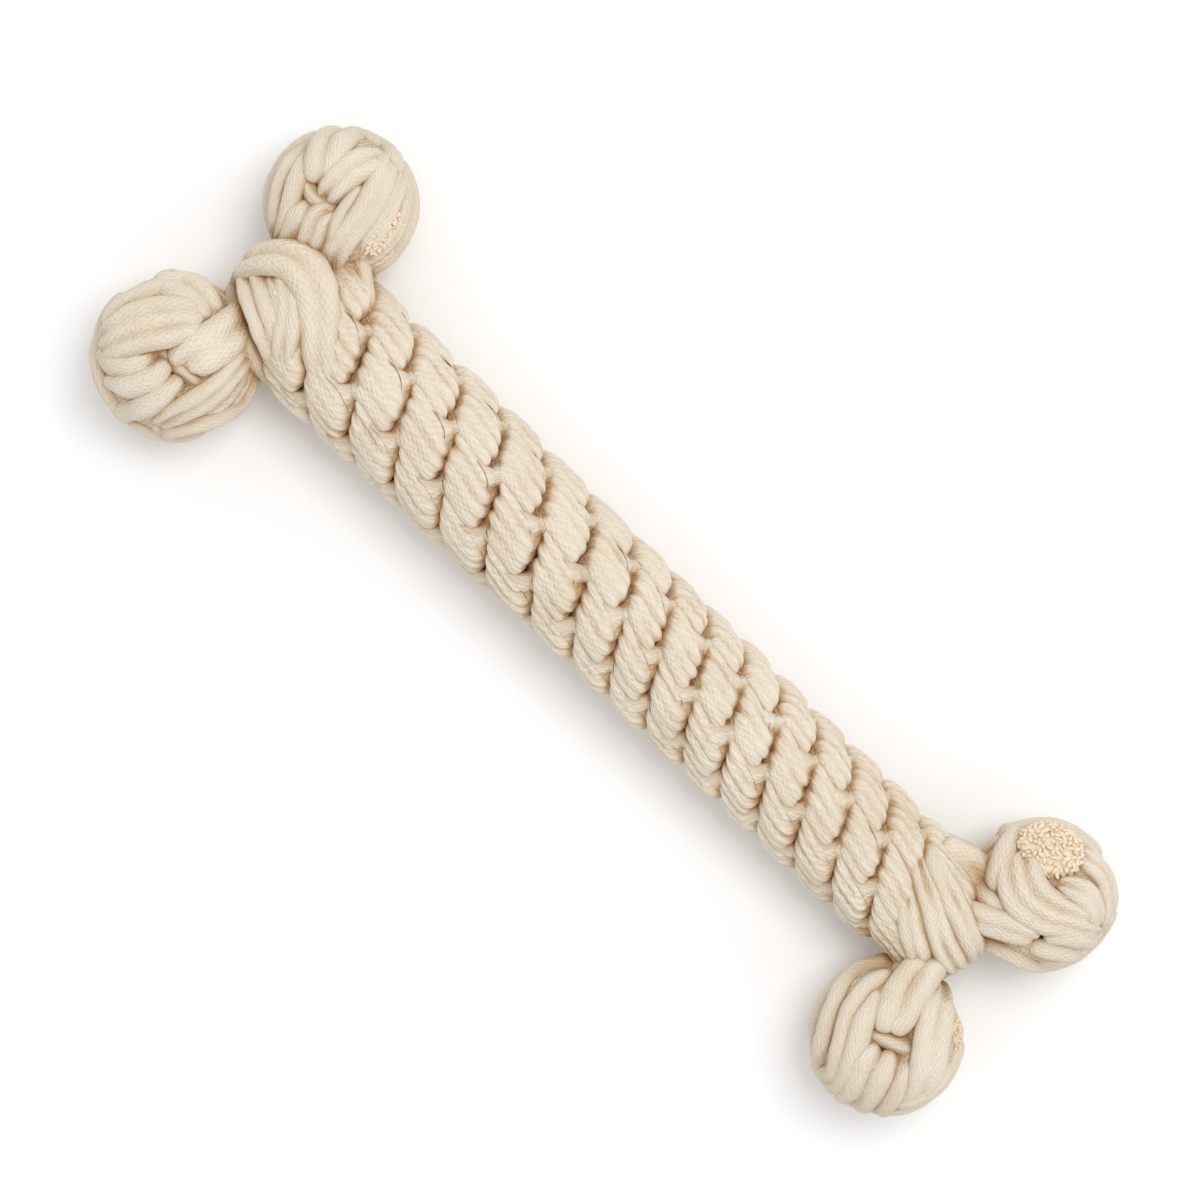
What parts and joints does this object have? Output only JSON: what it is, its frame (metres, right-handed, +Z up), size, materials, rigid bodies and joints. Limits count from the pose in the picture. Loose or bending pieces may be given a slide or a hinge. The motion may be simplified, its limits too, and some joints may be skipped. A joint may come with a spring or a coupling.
{
  "type": "rope dog toy",
  "caption": "Bone-shaped dog toy of thick natural cotton rope: a round plaited body with knots at its ends.",
  "frame": {"origin": "middle of the footprint, on the surface that the toy lies on", "axes": "+X along the body, towards the end with the smaller knots; +Y across it, towards the upper knots; +Z up"},
  "size_m": [0.3046, 0.1012, 0.0415],
  "materials": {
    "cotton_rope": "natural undyed cotton rope, matt, finely ribbed",
    "rope_inside": "natural undyed cotton rope in shade, matt",
    "cut_rope": "cut ends of cotton yarns, fluffy, matt"
  },
  "bodies": {
    "left_half": {"left_end_band": "cotton_rope", "left_fan_band": "cotton_rope", "lower_left_knot_neck_1": "cotton_rope", "lower_left_knot_neck_2": "cotton_rope", "strand_1_left_run": "cotton_rope", "strand_1_middle_run": "cotton_rope", "strand_2_left_run": "cotton_rope", "strand_2_middle_run": "cotton_rope", "strand_3_left_run": "cotton_rope", "strand_3_middle_run": "cotton_rope", "strand_4_left_run": "cotton_rope", "strand_4_middle_run": "cotton_rope", "upper_left_knot_neck_1": "cotton_rope", "upper_left_knot_neck_2": "cotton_rope"},
    "right_half": {"lower_right_knot_neck_1": "cotton_rope", "lower_right_knot_neck_2": "cotton_rope", "right_end_band": "cotton_rope", "strand_1_right_run": "cotton_rope", "strand_2_right_run": "cotton_rope", "strand_3_right_run": "cotton_rope", "strand_4_right_run": "cotton_rope", "upper_right_knot_neck_1": "cotton_rope", "upper_right_knot_neck_2": "cotton_rope"},
    "upper_left_knot": {"upper_left_knot_core": "rope_inside", "upper_left_knot_cut_end": "cut_rope", "upper_left_knot_left_inner_turn": "cotton_rope", "upper_left_knot_left_middle_turn": "cotton_rope", "upper_left_knot_left_outer_turn": "cotton_rope", "upper_left_knot_lower_cord": "cotton_rope", "upper_left_knot_right_turn": "cotton_rope", "upper_left_knot_top_loop": "cotton_rope", "upper_left_knot_under_turn": "cotton_rope"},
    "lower_left_knot": {"lower_left_knot_core": "rope_inside", "lower_left_knot_lower_cord": "cotton_rope", "lower_left_knot_neck_tuck": "cotton_rope", "lower_left_knot_outer_turn": "cotton_rope", "lower_left_knot_right_turn": "cotton_rope", "lower_left_knot_top_left_turn": "cotton_rope", "lower_left_knot_under_turn": "cotton_rope", "lower_left_knot_wide_turn": "cotton_rope"},
    "upper_right_knot": {"upper_right_knot_core": "rope_inside", "upper_right_knot_cut_end": "cut_rope", "upper_right_knot_end_turn": "cotton_rope", "upper_right_knot_half_moon_turn": "cotton_rope", "upper_right_knot_lower_cord": "cotton_rope", "upper_right_knot_outer_turn": "cotton_rope", "upper_right_knot_right_turn": "cotton_rope", "upper_right_knot_top_turn": "cotton_rope", "upper_right_knot_under_turn": "cotton_rope"},
    "lower_right_knot": {"lower_right_knot_core": "rope_inside", "lower_right_knot_cut_end": "cut_rope", "lower_right_knot_left_inner_turn": "cotton_rope", "lower_right_knot_left_outer_turn": "cotton_rope", "lower_right_knot_lower_cord": "cotton_rope", "lower_right_knot_lower_outer_cord": "cotton_rope", "lower_right_knot_neck_tuck": "cotton_rope", "lower_right_knot_under_turn": "cotton_rope", "lower_right_knot_wide_turn": "cotton_rope"}
  },
  "joints": [
    {"name": "body_flex", "type": "hinge", "parent": "left_half", "child": "right_half", "pos_m": [0.012, 0.002, 0.0205], "axis": [0, 0, 1], "range_deg": [-15, 15], "stiffness_Nm_per_rad": 0.6, "deforming": ["strand_1_middle_run", "strand_2_middle_run", "strand_3_middle_run", "strand_4_middle_run"]},
    {"name": "upper_left_knot_swing", "type": "hinge", "parent": "left_half", "child": "upper_left_knot", "pos_m": [-0.1147, 0.0107, 0.0205], "axis": [0, 0, 1], "range_deg": [-12, 12], "stiffness_Nm_per_rad": 0.12, "deforming": ["upper_left_knot_neck_1", "upper_left_knot_neck_2"]},
    {"name": "lower_left_knot_swing", "type": "hinge", "parent": "left_half", "child": "lower_left_knot", "pos_m": [-0.1106, -0.0077, 0.0205], "axis": [0, 0, 1], "range_deg": [-12, 12], "stiffness_Nm_per_rad": 0.12, "deforming": ["lower_left_knot_neck_1", "lower_left_knot_neck_2"]},
    {"name": "upper_right_knot_swing", "type": "hinge", "parent": "right_half", "child": "upper_right_knot", "pos_m": [0.1148, 0.0122, 0.0205], "axis": [0, 0, 1], "range_deg": [-12, 12], "stiffness_Nm_per_rad": 0.12, "deforming": ["upper_right_knot_neck_1", "upper_right_knot_neck_2"]},
    {"name": "lower_right_knot_swing", "type": "hinge", "parent": "right_half", "child": "lower_right_knot", "pos_m": [0.1173, -0.0096, 0.0205], "axis": [0, 0, 1], "range_deg": [-12, 12], "stiffness_Nm_per_rad": 0.12, "deforming": ["lower_right_knot_neck_1", "lower_right_knot_neck_2"]}
  ]
}
